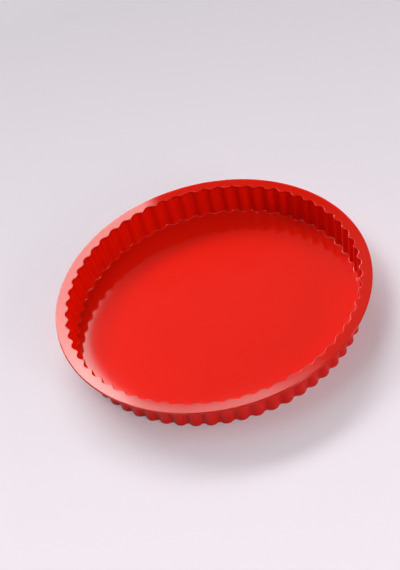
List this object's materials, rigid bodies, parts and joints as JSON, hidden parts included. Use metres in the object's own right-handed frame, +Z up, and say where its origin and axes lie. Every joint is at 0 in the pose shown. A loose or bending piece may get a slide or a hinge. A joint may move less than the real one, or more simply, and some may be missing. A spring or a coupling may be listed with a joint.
{
  "type": "silicone tart mould",
  "caption": "Round, shallow baking mould in soft silicone, with a fluted, drafted wall, a flat floor and a flat rim turned out round its top.",
  "frame": {"origin": "centre of the flat base, on the surface that the mould stands on", "axes": "+Z up along the axis of the round mould, out of its open top"},
  "size_m": [0.28, 0.28, 0.03],
  "materials": {
    "silicone": "satin red silicone rubber, smooth inside and on the rim"
  },
  "bodies": {
    "root": {"mould": "silicone"}
  },
  "joints": []
}
